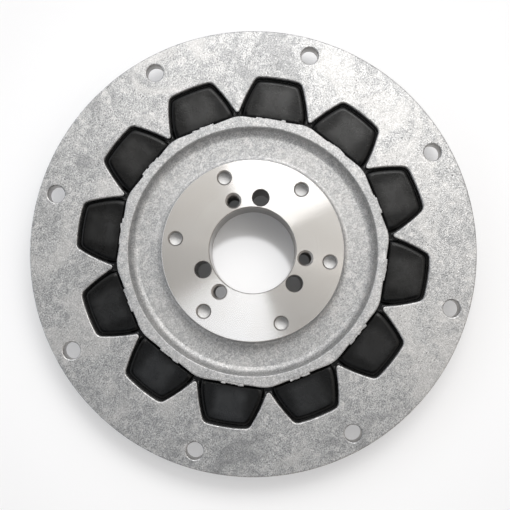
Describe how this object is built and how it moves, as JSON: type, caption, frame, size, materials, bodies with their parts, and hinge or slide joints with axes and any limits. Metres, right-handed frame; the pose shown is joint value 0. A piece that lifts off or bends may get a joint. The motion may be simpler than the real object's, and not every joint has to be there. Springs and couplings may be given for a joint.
{
  "type": "flexible disc coupling",
  "caption": "Flat flexible flywheel coupling: cast flange ring, moulded rubber cogs in its pockets and a dished cast hub with a bored, machined boss.",
  "frame": {"origin": "where the shaft axis meets the hub's rear end face, which is the plane that the part rests on", "axes": "+Z along the shaft axis, from the rear end face to the face with the tapped holes; +X through the middle of one rubber cog; +Y completes the right-handed frame"},
  "size_m": [0.2413, 0.2412, 0.028],
  "materials": {
    "flange_casting": "as cast, mottled light grey, rim turned",
    "black_rubber": "moulded, low sheen",
    "hub_casting": "sand-cast, with the boss face and bore turned bright"
  },
  "bodies": {
    "root": {"flange_ring": "flange_casting", "rubber_element": "black_rubber", "hub": "hub_casting"}
  },
  "joints": []
}
